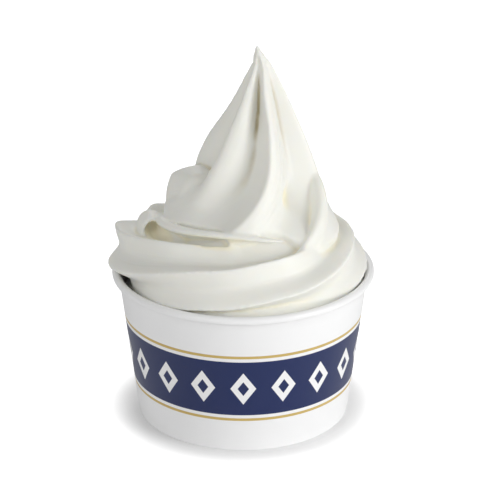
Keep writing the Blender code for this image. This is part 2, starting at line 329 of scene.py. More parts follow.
def near(azimuth, numbers, label):
    """How strong a local effect is at an azimuth."""
    away = (azimuth - numbers[label + " Azimuth"]) / numbers[label + " Width"]
    return numbers[label] * (away * away * -1).exp()


print("trees take their sizes by name")


# %% [markdown]
# ## The middle line
# A piped rope is a section that follows a line. The line is stored as a string of points, and each
# point carries what the section needs there as named attributes. A rope's radius, height, thickness
# and turn are eased between the named stations, as a hand moves the nozzle.


# %% Ease between the stations
def soft_step(share):
    share = min(max(share, 0.0), 1.0)
    return share * share * (3 - 2 * share)


def station(azimuth):
    """The rope's radius, height, thickness and turn at an azimuth."""
    for here, there in zip(COIL_STATIONS, COIL_STATIONS[1:]):
        if azimuth <= there[0]:
            break
    share = (azimuth - here[0]) / (there[0] - here[0])
    blend = 0.5 * share + 0.5 * soft_step(share)
    return [a + (b - a) * blend for a, b in zip(here[1:], there[1:])]


def middle_line(name, rows, labels):
    """A string of points, one for each row, with the row's values as named attributes."""
    mesh = bpy.data.meshes.new(name)
    count = len(rows)
    edges = [(i, i + 1) for i in range(count - 1)]
    mesh.from_pydata([(i * MM, 0, 0) for i in range(count)], edges, [])
    for column, label in enumerate(labels):
        layer = mesh.attributes.new(label, "FLOAT", "POINT")
        layer.data.foreach_set("value", [float(row[column]) for row in rows])
    return link(name, mesh)


def sampled(tree, into, index, labels):
    """Read the middle line's attributes at a row."""
    found = {}
    for label in labels:
        named = add(tree, "GeometryNodeInputNamedAttribute", {"Name": label})
        sample = add(tree, "GeometryNodeSampleIndex", {"Geometry": into.outputs["Geometry"]})
        tree.links.new(named.outputs["Attribute"], sample.inputs["Value"])
        tree.links.new(index, sample.inputs["Index"])
        found[label] = Number(tree, sample.outputs["Value"])
    return found


print("the rope passes", len(COIL_STATIONS), "stations")


# %% [markdown]
# ## The star section
# The nozzle is a star, so the rope has ridges with soft hollows between them. As the rope lies down
# and turns, each ridge folds over a little: the fall behind it is gentle, and the rise to the next
# one is steep. Raising the share of the way to a power before the sine does that.


# %% A tree's grid, rows and star
def star(turn_share, ridges, lean):
    """How deep the hollow is, 0 to 1, at a share of the way round the section."""
    return (((turn_share * ridges).part() ** lean) * math.pi).sin()


def skin_grid(tree, into, numbers):
    """A flat grid, one row for each point of the line, whose points are then moved into place."""
    count = add(tree, "GeometryNodeAttributeDomainSize", {"Geometry": into.outputs["Geometry"]})
    rows = Number(tree, count.outputs["Point Count"])
    grid = add(tree, "GeometryNodeMeshGrid", {"Size X": 1.0, "Size Y": 1.0})
    feed(tree, grid.inputs["Vertices X"], rows)
    feed(tree, grid.inputs["Vertices Y"], numbers["Sides"] + 1)
    x, y, _ = axes(tree, tree.nodes.new("GeometryNodeInputPosition").outputs[0])
    row_share = x + 0.5
    turn_share = y + 0.5
    whole = add(tree, "FunctionNodeFloatToInt", {"Float": row_share * (rows - 1)})
    return grid.outputs["Mesh"], whole.outputs[0], row_share, turn_share


def placed(tree, azimuth, radius, height, right=0.0):
    """A point in metres from an azimuth in degrees, and a radius and a height in millimetres."""
    around = azimuth.radians()
    x = (around.sin() * radius + right) * MM
    y = around.cos() * radius * -MM
    return add(tree, "ShaderNodeCombineXYZ", {"X": x, "Y": y, "Z": height * MM}).outputs[0]


def note(tree, geometry, label, value, kind="FLOAT"):
    """Store a named attribute on the points."""
    store = add(tree, "GeometryNodeStoreNamedAttribute", {"Geometry": geometry, "Name": label},
                data_type=kind)
    feed(tree, store.inputs["Value"], value)
    return store.outputs[0]


WELD = 1e-6
AT_BORDER = 0.49999  # a border point is half the grid away from the middle


def close_skin(tree, grid, point, row_share, turn_share, along, on_peak):
    """Note the flow and the kind of piece on the flat grid, move its points, and weld its border.

    The notes come first, because after the move a point no longer knows its place on the grid.
    """
    around = turn_share * (2 * math.pi)
    flow = add(tree, "ShaderNodeCombineXYZ", {"X": around.cos(), "Y": around.sin(), "Z": along})
    noted = note(tree, grid, "flow", flow.outputs[0], "FLOAT_VECTOR")
    noted = note(tree, noted, "on_peak", on_peak)
    border = (turn_share - 0.5).size().most((row_share - 0.5).size())
    noted = note(tree, noted, "border", border)
    moved = add(tree, "GeometryNodeSetPosition", {"Geometry": noted, "Position": point})
    at_border = add(tree, "GeometryNodeInputNamedAttribute", {"Name": "border"})
    chosen = Number(tree, at_border.outputs["Attribute"]).math("GREATER_THAN", AT_BORDER)
    weld = add(tree, "GeometryNodeMergeByDistance", {"Geometry": moved.outputs[0], "Distance": WELD})
    feed(tree, weld.inputs["Selection"], chosen)
    return weld.outputs[0]


print("a star with", ROPE_RIDGES, "ridges")


# %% [markdown]
# ## The rope and the folds
# One tree pipes every rope: the coil that lies round the rim, and the soft folds at the peak's foot,
# a rolled lip and a petal. A fold is only a rope without a star, wider or narrower than it is thick.
# One more such rope is never seen. It is cut away later, and leaves the hollow inside the curl.

# %% The rope tree
ROPE_LINE = ("azimuth", "radius", "height", "size", "turn", "groove")
ROPE_SIZES = {"Sides": 150, "Ridges": ROPE_RIDGES, "Lean": COIL_LEAN, "Widen": 1.0}
rope_tree, rope_in, rope = start_tree("piped_rope", ROPE_SIZES)
rope_grid, rope_row, rope_share, rope_turn = skin_grid(rope_tree, rope_in, rope)
line = sampled(rope_tree, rope_in, rope_row, ROPE_LINE)
rope_hollow = star(rope_turn, rope["Ridges"], rope["Lean"])
reach = line["size"] * (1 - line["groove"] * rope_hollow)
section = (line["turn"] - rope_turn * 360).radians()
rope_point = placed(
    rope_tree,
    line["azimuth"],
    line["radius"] + reach * section.cos() * rope["Widen"],
    line["height"] + reach * section.sin(),
)
rope_along = line["azimuth"].radians() * line["radius"]
rope_skin = close_skin(rope_tree, rope_grid, rope_point, rope_share, rope_turn, rope_along, 0.0)
end_tree(rope_tree, rope_in, rope_skin)
print("piped_rope has", len(rope_tree.nodes), "nodes")

# %% Pipe the coil
COIL_STEP = 1.5


def pointed(rows):
    """Close a rope's ends: one more row at each end, where its thickness is nothing."""
    first, last = (row[:3] + (0.0,) + row[4:] for row in (rows[0], rows[-1]))
    return [first] + rows + [last]


def pipe_coil(first, last):
    """A stretch of the rope. It draws in a little at both ends, where it lies in other yogurt."""
    steps = round((last - first) / COIL_STEP)
    rows = []
    for step in range(steps + 1):
        azimuth = first + (last - first) * step / steps
        radius, height, size, turn, groove = station(azimuth)
        size *= 1 - COIL_END * max(0.0, 1 - min(step, steps - step) * COIL_STEP / COIL_END_REACH)
        rows.append((azimuth, radius, height, size, turn, groove))
    return run_tree(middle_line("coil", pointed(rows), ROPE_LINE), rope_tree, ROPE_SIZES)


def curve_through(stations, share):
    """A point a share of the way along a smooth curve through its stations."""
    spans = len(stations) - 1
    here = min(int(share * spans), spans - 1)
    part = share * spans - here
    ends = [stations[max(0, min(spans, here + k))] for k in (-1, 0, 1, 2)]
    values = []
    for a, b, c, d in zip(*ends):
        bend = (2 * a - 5 * b + 4 * c - d) * part ** 2 + (3 * b - a - 3 * c + d) * part ** 3
        values.append(b + 0.5 * ((c - a) * part + bend))
    return values


FOLD_STEPS = 100
FOLD_SIZES = {"Sides": 32, "Ridges": 1, "Lean": 1.0}


def pipe_fold(name, widen, stations):
    """A plain rope through a few stations, wider or narrower than it is thick."""
    shares = [step / FOLD_STEPS for step in range(FOLD_STEPS + 1)]
    rows = [(*curve_through(stations, share), 0.0, 0.0) for share in shares]
    sizes = {**FOLD_SIZES, "Widen": widen}
    return run_tree(middle_line(name, pointed(rows), ROPE_LINE), rope_tree, sizes)


coil_pieces = [
    pipe_coil(COIL_STATIONS[0][0], COIL_SPLIT + COIL_OVERLAP),
    pipe_coil(COIL_SPLIT, COIL_STATIONS[-1][0]),
]
folds = [pipe_fold(name, widen, stations) for name, (widen, stations) in FOLDS.items()]
curl_hollow = pipe_fold("curl_hollow", 1.0, CURL_HOLLOW)
print("the coil has", [len(piece.data.polygons) for piece in coil_pieces], "faces")

# %% [markdown]
# ## The peak
# When the nozzle is drawn up, the rope's ridges close in to a point. The peak is therefore a star
# section again, on a cone: high up the ridges stand straight, and near the foot they trail behind the
# turning cup. A few local effects say where the soft foot gave way over the coil.

# %% The peak tree
def wrapped(angle):
    """The same angle between -180 and 180 degrees."""
    return ((angle + 180) / 360).part() * 360 - 180


# Shares of the peak's height: over how much an effect grows, and where the tip starts to curl.
DRAW_IN_REACH = 0.3
SEAM_REACH = 0.2
SHIFT_REACH = 0.75
TIP_START = 0.85
TIP_REACH = 0.15
# How fast the grooves deepen above the foot and how much deeper they are at the tip, how fast the
# dip grows from the middle out, and how fast the fill and the spread fade above the foot.
GROOVE_GROWTH = 2.4
TIP_GROOVE = 0.25
DIP_GROWTH = 2
FILL_FADE = 2
SPREAD_FADE = 14
PEAK_LINE = ("rise", "shrink", "drop")
PEAK_SIZES = {"Sides": 300, **PEAK}
peak_tree, peak_in, peak = start_tree("twisted_peak", PEAK_SIZES)
peak_grid, peak_row, peak_share, peak_turn = skin_grid(peak_tree, peak_in, peak)
line = sampled(peak_tree, peak_in, peak_row, PEAK_LINE)
tall = peak["Top"] - peak["Foot"]
turn = peak_turn * 360
straight = wrapped(peak["First Ridge"] + turn + peak["Spread"] * (1 - turn.radians().cos()))
side = straight.radians().sin()
behind = (1 - tall * line["rise"] / peak["Twist Height"]).most(0.0)
uneven = 1 + peak["Left Trail"] * (side * -1).most(0.0) + peak["Right Trail"] * side.most(0.0)
azimuth = straight + peak["Twist"] * behind * behind * uneven
drawn = ((line["rise"] - peak["Draw In Start"]) / DRAW_IN_REACH).smooth()
azimuth = wrapped(azimuth - near(straight, peak, "Draw In") * drawn)
away = (azimuth - peak["Foot Dip Azimuth"]) / peak["Foot Dip Width"]
dip = peak["Foot Dip"] * (away * away * away * away * -1).exp()
foot = peak["Foot"] - dip * (line["shrink"] * DIP_GROWTH).least(1.0)
height = foot + (peak["Top"] - foot) * line["rise"]
depth = peak["Groove"] * (line["rise"] * GROOVE_GROWTH + peak["Foot Groove"]).smooth()
depth = depth * (1 + line["rise"] * TIP_GROOVE)
depth = depth * (1 - near(azimuth, peak, "Shoulder Fill") * (1 - line["rise"]) ** FILL_FADE)
peak_hollow = star(peak_turn, peak["Ridges"], peak["Lean"])
seam = near(straight, peak, "Seam") * ((line["rise"] - peak["Seam End"]) / SEAM_REACH).smooth()
radius = peak["Radius"] * (peak["Top"] - height) / tall * (1 - depth * peak_hollow - seam)
radius = radius + near(azimuth, peak, "Foot Spread") * (1 - line["rise"]) ** SPREAD_FADE
for effect in ("Dent", "Fold", "Crease", "Bulge"):
    level = (height - peak[effect + " Height"]) / peak[effect + " Reach"]
    radius = radius + near(azimuth, peak, effect) * (level * level * -1).exp()
level = (height - peak["Foot"]) / tall
shift = (level.limit() / SHIFT_REACH).least(1.0) * (math.pi / 2)
tip_curl = peak["Tip Curl"] * ((level - TIP_START) / TIP_REACH).smooth()
right = peak["Offset"] + peak["Shift"] * shift.sin() - tip_curl
peak_point = placed(peak_tree, azimuth, radius * line["shrink"], height - line["drop"], right)
peak_skin = close_skin(peak_tree, peak_grid, peak_point, peak_share, peak_turn, height, 1.0)
end_tree(peak_tree, peak_in, peak_skin)
print("twisted_peak has", len(peak_tree.nodes), "nodes")

# %% Raise the peak
PEAK_ROWS = 200
UNDER_ROWS = 12


def raise_peak():
    """Rows from the middle of the underside, out to the lip of the foot, and up to the tip."""
    rows = []
    under = PEAK_UNDER + [(1.0, 0.0)]
    for here, there in zip(under, under[1:]):
        for step in range(UNDER_ROWS):
            share = step / UNDER_ROWS
            rows.append((0.0, *(a + (b - a) * share for a, b in zip(here, there))))
    rows += [(row / PEAK_ROWS, 1.0, 0.0) for row in range(PEAK_ROWS + 1)]
    return run_tree(middle_line("peak", rows, PEAK_LINE), peak_tree, PEAK_SIZES)


peak_piece = raise_peak()
print("the peak has", len(peak_piece.data.polygons), "faces")

# %% [markdown]
# ## The filling and the curl
# Under the coil the cup is full to its base. That body is turned like a pot, so a few rings of points
# are enough. The curl is a small sheet that bent over when the rope was laid down: a ring of points
# is carried round an arc.


# %% Lofted pieces
def place(azimuth, radius, height):
    around = math.radians(azimuth)
    return (radius * math.sin(around) * MM, -radius * math.cos(around) * MM, height * MM)


def finish_mesh(name, bm):
    bmesh.ops.recalc_face_normals(bm, faces=bm.faces)
    mesh = bpy.data.meshes.new(name)
    bm.to_mesh(mesh)
    bm.free()
    return link(name, mesh)


def loft(name, rings):
    """Skin a row of closed rings of points, and close both ends with a fan."""
    bm = bmesh.new()
    rows = [[bm.verts.new(point) for point in ring] for ring in rings]
    count = len(rows[0])
    for low, high in zip(rows, rows[1:]):
        for i in range(count):
            j = (i + 1) % count
            bm.faces.new((low[i], low[j], high[j], high[i]))
    for row in (rows[0], rows[-1]):
        middle = [sum(vert.co[axis] for vert in row) / count for axis in range(3)]
        hub = bm.verts.new(middle)
        for i in range(count):
            bm.faces.new((row[i], row[(i + 1) % count], hub))
    return finish_mesh(name, bm)


def inner_radius(height):
    """Inside of the side wall at a height: straight from the foot to the rolled rim."""
    low = FOOT_RADIUS - PAPER
    top = RIM_RADIUS - ROLL_RADIUS
    return low + (top - low) * height / RIM_HEIGHT


def pour_filling():
    """The body that fills the cup, with the core on which the coil lies."""
    floor = BASE_HEIGHT + PAPER + GAP
    outline = [(inner_radius(z) - FILLING_GAP, z) for z in (floor, FILLING_SHOULDER)] + FILLING_CORE
    turns = [360 * i / FILLING_SIDES - 180 for i in range(FILLING_SIDES)]
    rings = []
    for radius, height in outline:
        ring = []
        for turn in turns:
            level = height - sunk(turn) * soft_step((height - SINK_FROM) / SINK_REACH)
            ring.append(place(turn, min(radius, inner_radius(level) - FILLING_GAP), level))
        rings.append(ring)
    return loft("filling", rings)


def sunk(azimuth):
    """How far the filling stays below its edge, at an azimuth from -180 to 180."""
    amount, middle, width = FILLING_LOW
    return amount * math.exp(-(((azimuth - middle) / width) ** 2))


CURL_STEPS = 48
CURL_SIDES = 32


def bend_curl():
    """A small sheet with round edges, bent over along an arc."""
    rings = []
    for step in range(CURL_STEPS + 1):
        bend = math.radians(CURL_START - CURL_SWEEP * step / CURL_STEPS)
        ring = []
        for i in range(CURL_SIDES):
            around = 2 * math.pi * (i + 0.5) / CURL_SIDES
            out = CURL_BEND + CURL_THICKNESS * math.cos(around)
            sweep = math.degrees(CURL_WIDTH * math.sin(around) / CURL_RADIUS)
            radius = CURL_RADIUS - out * math.cos(bend)
            ring.append(place(CURL_AZIMUTH + sweep, radius, CURL_HEIGHT + out * math.sin(bend)))
        rings.append(ring)
    return loft("curl", rings)


filling = pour_filling()
curl = bend_curl()
print("filling and curl are made")

# %% [markdown]
# ## One soft body
# Yogurt has no inner walls, so the pieces are joined with Boolean unions, and the space that the cup
# takes up is cut away. Then Voxel Remesh lays an even net over the whole, which also rounds each
# seam by about one cell, as soft food rounds its own. A little smoothing takes the steps out.

# %% Join, cut, and lay a fine net
VOXEL = 0.6 * MM
SMOOTHING = 6
HIDDEN_BELOW = 38.0
HIDDEN_THINNED = 0.95


def combine(body, operation, other):
    """Join another closed piece to a body, or cut it away."""
    step = body.modifiers.new(operation.lower(), "BOOLEAN")
    step.operation = operation
    step.solver = "MANIFOLD"
    step.object = other
    bake(body)


def arc(radius, height, size, start, stop, steps):
    """Points of an arc in the (radius, height) plane, from start to stop degrees."""
    points = []
    for step in range(steps + 1):
        turn = math.radians(start + (stop - start) * step / steps)
        points.append((radius + size * math.cos(turn), height + size * math.sin(turn)))
    return points


CUP_SEGMENTS = 256


def turned(name, profile, closed=True):
    """Spin an outline of (radius, height) round the cup's axis. An open one ends on the axis."""
    bm = bmesh.new()
    verts = [bm.verts.new(place(90, r, z)) for r, z in profile]
    following = verts[1:] + verts[:1] if closed else verts[1:]
    edges = [bm.edges.new(pair) for pair in zip(verts, following)]
    bmesh.ops.spin(bm, geom=verts + edges, cent=(0, 0, 0), axis=(0, 0, 1),
                   angle=2 * math.pi, steps=CUP_SEGMENTS, use_merge=True)
    if not closed:
        bmesh.ops.remove_doubles(bm, verts=bm.verts, dist=WELD)
    return finish_mesh(name, bm)


def cup_space():
    """All that the cup takes up, grown by the gap, out past the widest ridge."""
    beyond = RIM_RADIUS + 20
    profile = [(inner_radius(-5.0) - GAP, -5.0), (inner_radius(RIM_HEIGHT) - GAP, RIM_HEIGHT)]
    profile += arc(RIM_RADIUS, RIM_HEIGHT, ROLL_RADIUS + GAP, 170, 10, 16)
    profile += [(RIM_RADIUS + ROLL_RADIUS + GAP, RIM_HEIGHT), (beyond, RIM_HEIGHT), (beyond, -5.0)]
    return turned("cup_space", profile)


def keep_largest(piece):
    """Drop the sealed hollows and scraps that joining leaves behind."""
    bm = bmesh.new()
    bm.from_mesh(piece.data)
    groups, seen = [], set()
    for start in bm.verts:
        if start in seen:
            continue
        group, front = [], [start]
        seen.add(start)
        while front:
            vert = front.pop()
            group.append(vert)
            for edge in vert.link_edges:
                other = edge.other_vert(vert)
                if other not in seen:
                    seen.add(other)
                    front.append(other)
        groups.append(group)
    groups.sort(key=len)
    loose = [vert for group in groups[:-1] for vert in group]
    bmesh.ops.delete(bm, geom=loose, context="VERTS")
    bm.to_mesh(piece.data)
    bm.free()


def open_edges(piece):
    """How many edges don't join exactly two faces, where a Boolean needs none, and the volume."""
    bm = bmesh.new()
    bm.from_mesh(piece.data)
    count = sum(len(edge.link_faces) != 2 for edge in bm.edges)
    volume = bm.calc_volume(signed=True)
    bm.free()
    return count, round(volume * 1e9)


def thin_hidden(piece):
    """Give the part that stands deep in the cup, and never shows, only a few large faces."""
    deep = [v.index for v in piece.data.vertices if v.co.z < HIDDEN_BELOW * MM]
    piece.vertex_groups.new(name="deep").add(deep, 1.0, "REPLACE")
    thin = piece.modifiers.new("thin", "DECIMATE")
    thin.vertex_group = "deep"
    thin.ratio = 1 - HIDDEN_THINNED * len(deep) / len(piece.data.vertices)
    bake(piece)


for piece in [filling, *coil_pieces, peak_piece, curl, *folds, curl_hollow]:
    print(piece.name, "open edges and volume:", open_edges(piece))
yogurt = filling
for other in coil_pieces + [peak_piece, curl] + folds:
    combine(yogurt, "UNION", other)
for taken in (curl_hollow, cup_space()):
    combine(yogurt, "DIFFERENCE", taken)
net = yogurt.modifiers.new("net", "REMESH")
net.mode = "VOXEL"
net.voxel_size = VOXEL
bake(yogurt)
keep_largest(yogurt)
soften = yogurt.modifiers.new("soften", "SMOOTH")
soften.factor = 0.5
soften.iterations = SMOOTHING
bake(yogurt)
thin_hidden(yogurt)
print("the yogurt's net has", len(yogurt.data.polygons), "faces", open_edges(yogurt))

# %% [markdown]
# ## The skin
# Piped yogurt isn't plain between its ridges. It has faint lines along the flow, from the teeth of
# the nozzle, and a slow unevenness of its own. The flow at each point is read from the pieces that
# were piped, so that the lines follow every twist, and they fade where two folds meet. Real relief
# is used, and not only bump, so that it also shows at the outline.
#
# The skin also notes where it is hollow, and where it lies near the gap under the foot, as the mask
# for painted shade in the yogurt's colour. Blurring the points' places lifts those that lie in a
# hollow, and the lift along the normal tells how deep it is.

# %% The skin tree
# The last two sizes, the blur steps and the gap's share below shape the mask for painted shade in
# hollows and near the gap.
SKIN = {"Swell": 0.5, "Swell Scale": 55.0, "Lines": 0.16, "Line Count": 2.6, "Line Length": 0.02,
        "Hollow Depth": 0.75, "Gap Reach": 2.8}
HOLLOW_STEPS = 45
MEETING_STEPS = 4
MEETING_FADE = 2.5
GAP_PAINTED_SHADE = 1.3
skin_tree, skin_in, skin = start_tree("soft_skin", SKIN)
for label in ("Piped", "Gap"):
    skin_tree.interface.new_socket(label, in_out="INPUT", socket_type="NodeSocketObject")
piped = add(skin_tree, "GeometryNodeObjectInfo", {"Object": skin_in.outputs["Piped"]})
gap = add(skin_tree, "GeometryNodeObjectInfo", {"Object": skin_in.outputs["Gap"]})
read = {}
for label, kind in (("flow", "FLOAT_VECTOR"), ("on_peak", "FLOAT")):
    named = add(skin_tree, "GeometryNodeInputNamedAttribute", {"Name": label}, data_type=kind)
    nearest = add(skin_tree, "GeometryNodeSampleNearestSurface", {"Mesh": piped.outputs["Geometry"]},
                  data_type=kind)
    skin_tree.links.new(named.outputs["Attribute"], nearest.inputs["Value"])
    read[label] = nearest.outputs["Value"]


def blurred(value, steps):
    """A vector, evened out with those around it."""
    blur = add(skin_tree, "GeometryNodeBlurAttribute", {"Iterations": steps}, data_type="FLOAT_VECTOR")
    skin_tree.links.new(value, blur.inputs["Value"])
    return blur.outputs["Value"]


def vectors(operation, first, second):
    """A Vector Math node with two vectors."""
    return add(skin_tree, "ShaderNodeVectorMath", {0: first, 1: second}, operation=operation)


# The flow jumps where two folds meet, so there it is unlike what is around it.
unlike = vectors("DISTANCE", read["flow"], blurred(read["flow"], MEETING_STEPS)).outputs["Value"]
even = 1 - (Number(skin_tree, unlike) * MEETING_FADE).smooth()
along_flow = stretched(skin_tree, read["flow"], skin["Line Count"], skin["Line Length"])
lines = add(skin_tree, "ShaderNodeTexNoise", {"Vector": along_flow, "Scale": 1.6, "Detail": 3.0})
swell = add(skin_tree, "ShaderNodeTexNoise", {"Scale": skin["Swell Scale"], "Detail": 2.0})
line_height = (Number(skin_tree, lines.outputs[0]) - 0.5) * skin["Lines"] * even
swell_height = (Number(skin_tree, swell.outputs[0]) - 0.5) * skin["Swell"]
rise = (line_height + swell_height) * MM
normal = skin_tree.nodes.new("GeometryNodeInputNormal").outputs[0]
push = add(skin_tree, "ShaderNodeVectorMath", {0: normal, "Scale": rise}, operation="SCALE")
pushed = add(skin_tree, "GeometryNodeSetPosition",
             {"Geometry": skin_in.outputs["Geometry"], "Offset": push.outputs[0]})
here = skin_tree.nodes.new("GeometryNodeInputPosition").outputs[0]
# How deep a point lies in a hollow: the mask for the painted shade in the yogurt's colour.
lift = vectors("SUBTRACT", blurred(here, HOLLOW_STEPS), here).outputs[0]
sunken = vectors("DOT_PRODUCT", lift, normal).outputs["Value"]
hollow = Number(skin_tree, sunken) / (skin["Hollow Depth"] * MM)
# Near the gap under the foot, the mask for painted shade rises too.
to_gap = add(skin_tree, "GeometryNodeProximity", {"Geometry": gap.outputs["Geometry"]})
gap_shade = 1 - (Number(skin_tree, to_gap.outputs["Distance"]) / (skin["Gap Reach"] * MM)).smooth()
noted = note(skin_tree, pushed.outputs[0], "hollow", hollow.most(gap_shade * GAP_PAINTED_SHADE))
noted = note(skin_tree, noted, "even", even)
noted = note(skin_tree, noted, "flow", read["flow"], "FLOAT_VECTOR")
noted = note(skin_tree, noted, "on_peak", read["on_peak"])
end_tree(skin_tree, skin_in, noted)
print("soft_skin has", len(skin_tree.nodes), "nodes")

# %% [markdown]
# ## Finishes that share one effect
# Paper and yogurt both have a fine, uneven grain. That effect is a node group with named inputs,
# placed in each material with its own values. It gives out only a value and a normal's height; the
# shader itself stays in the material.


# %% The grain group
def grain_group():
    group = bpy.data.node_groups.new("fine_grain", "ShaderNodeTree")
    for label in ("Scale", "Patches", "Stretch"):
        group.interface.new_socket(label, in_out="INPUT", socket_type="NodeSocketFloat")
    for label in ("Grain", "Patch"):
        group.interface.new_socket(label, in_out="OUTPUT", socket_type="NodeSocketFloat")
    into = group.nodes.new("NodeGroupInput")
    out = group.nodes.new("NodeGroupOutput")
    where = add(group, "ShaderNodeTexCoord")
    squeeze = add(group, "ShaderNodeCombineXYZ", {"X": 1.0, "Y": 1.0, "Z": into.outputs["Stretch"]})
    shaped = add(group, "ShaderNodeVectorMath",
                 {0: where.outputs["Object"], 1: squeeze.outputs[0]}, operation="MULTIPLY")
    for source, target, detail in (("Scale", "Grain", 4.0), ("Patches", "Patch", 2.0)):
        noise = add(group, "ShaderNodeTexNoise", {"Vector": shaped.outputs[0], "Detail": detail})
        group.links.new(into.outputs[source], noise.inputs["Scale"])
        group.links.new(noise.outputs[0], out.inputs[target])
    return group


GRAIN = grain_group()


def start_look(name, roughness, **sockets):
    """A material with its Principled shader, whose even values are set on the shader itself."""
    look = bpy.data.materials.new(name)
    look.use_nodes = True
    shader = look.node_tree.nodes["Principled BSDF"]
    shader.inputs["Roughness"].default_value = roughness
    for label, value in sockets.items():
        shader.inputs[label.replace("_", " ")].default_value = value
    return look, look.node_tree, shader


def grain_in(tree, scale, patches, stretch=1.0):
    node = add(tree, "ShaderNodeGroup", node_tree=GRAIN)
    for label, value in (("Scale", scale), ("Patches", patches), ("Stretch", stretch)):
        node.inputs[label].default_value = value
    return node


def mixed(tree, share, low, high):
    """A colour between two others."""
    mix = add(tree, "ShaderNodeMix", data_type="RGBA")
    feed(tree, mix.inputs["Factor"], share)
    for place, value in ((mix.inputs[6], low), (mix.inputs[7], high)):
        feed(tree, place, value if isinstance(value, bpy.types.NodeSocket) else (*value, 1.0))
    return mix.outputs[2]


def object_place(tree):
    """A point's place on its own object, in metres."""
    return add(tree, "ShaderNodeTexCoord").outputs["Object"]


def roughen(tree, shader, height, strength, distance):
    """Raise a shader's surface by a height, as bump."""
    bump = add(tree, "ShaderNodeBump", {"Strength": strength, "Distance": distance, "Height": height})
    tree.links.new(bump.outputs[0], shader.inputs["Normal"])


print("fine_grain is shared by paper and yogurt")

# %% [markdown]
# ## Yogurt
# Plain frozen yogurt is off-white and a little see-through: light enters, scatters and comes out
# softened, and deep folds look warmer. Subsurface scattering does the first. The second is painted
# into the colour: the hollows that the skin noted, and the gap under the foot, take a painted warm
# glow low down and a painted dark brown shade high up between the ridges. The finest lines follow the
# flow, and beside the second ridge the peak has a few soft folds.


# %% The yogurt's look
CREAM = (0.885, 0.885, 0.825)
CREAM_PATCH = (0.90, 0.895, 0.84)
# Painted light in the hollows: a warm glow low down and a dark brown shade high up, where the skin's
# hollow mask passes a threshold, and above a given height with its reach.
LOW_HOLLOW_PAINTED_GLOW = (0.93, 0.885, 0.72)
HIGH_HOLLOW_PAINTED_SHADE = (0.52, 0.45, 0.29)
PAINTED_SHADE_FROM = 0.45
DARK_SHADE_HEIGHT = 88.0
DARK_SHADE_HEIGHT_REACH = 10
# The scales of the grain and of its patches, and the least roughness and what a patch adds to it.
YOGURT_GRAIN = (900.0, 60.0)
YOGURT_ROUGH = (0.36, 0.14)
# Heights of bump are in millimetres.
GRAIN_HEIGHT = 0.02
FINE_LINES = 9.0
FINE_LENGTH = 0.03
FINE_HEIGHT = 0.10
FOLD_TURN = 82.0
FOLD_TURN_REACH = 14.0
FOLD_LEVEL = 98.0
FOLD_LEVEL_REACH = 16.0
FOLD_PITCH = 6.0
FOLD_BEND = (0.16, 0.8)
FOLD_HEIGHT_SHARE = 0.28


def yogurt_look():
    look, tree, shader = start_look(
        "plain_yogurt", 0.42, Subsurface_Weight=0.30, Subsurface_Scale=0.0025, Specular_IOR_Level=0.35
    )
    shader.inputs["Subsurface Radius"].default_value = (1.0, 0.85, 0.6)
    grain = grain_in(tree, *YOGURT_GRAIN)
    patch = Number(tree, grain.outputs["Patch"])
    hollow, flow, on_peak, even = (add(tree, "ShaderNodeAttribute", attribute_name=label)
                                   for label in ("hollow", "flow", "on_peak", "even"))
    feed(tree, shader.inputs["Roughness"], patch * YOGURT_ROUGH[1] + YOGURT_ROUGH[0])
    level = axes(tree, object_place(tree))[2] / MM
    # Painted shade: the hollow mask turns the cream to a painted warm glow low down and to a painted
    # dark brown shade high up.
    depth = (Number(tree, hollow.outputs["Fac"]) - PAINTED_SHADE_FROM).smooth()
    high = ((level - DARK_SHADE_HEIGHT) / DARK_SHADE_HEIGHT_REACH).smooth()
    cream = mixed(tree, patch, CREAM, CREAM_PATCH)
    colour = mixed(tree, depth, cream, mixed(tree, high, LOW_HOLLOW_PAINTED_GLOW, HIGH_HOLLOW_PAINTED_SHADE))
    tree.links.new(colour, shader.inputs["Base Color"])
    along_flow = stretched(tree, flow.outputs["Vector"], FINE_LINES, FINE_LENGTH)
    fine = add(tree, "ShaderNodeTexNoise", {"Vector": along_flow, "Scale": 1.0, "Detail": 2.0})
    over, aside, _ = axes(tree, flow.outputs["Vector"])
    turn = aside.math("ARCTAN2", over) * (180 / math.pi)
    folds_here = Number(tree, on_peak.outputs["Fac"])
    for place, middle, reach in ((turn, FOLD_TURN, FOLD_TURN_REACH),
                                 (level, FOLD_LEVEL, FOLD_LEVEL_REACH)):
        away = (place - middle) / reach
        folds_here = folds_here * (away * away * -1).exp()
    bend = (level * FOLD_BEND[0]).sin() * FOLD_BEND[1]
    waves = (turn * (2 * math.pi / FOLD_PITCH) + bend).sin() * 0.5 + 0.5
    relief = (Number(tree, fine.outputs[0]) - 0.5) * FINE_HEIGHT
    relief = relief + waves * folds_here * FOLD_HEIGHT_SHARE
    height = Number(tree, grain.outputs["Grain"]) * GRAIN_HEIGHT
    height = height + relief * Number(tree, even.outputs["Fac"]).limit()
    roughen(tree, shader, height.socket, 1.0, MM)
    return look


YOGURT = yogurt_look()


def copy_of(pieces, name):
    """One object that holds copies of several meshes, to read the flow from."""
    bm = bmesh.new()
    for piece in pieces:
        bm.from_mesh(piece.data)
    mesh = bpy.data.meshes.new(name)
    bm.to_mesh(mesh)
    bm.free()
    return link(name, mesh)


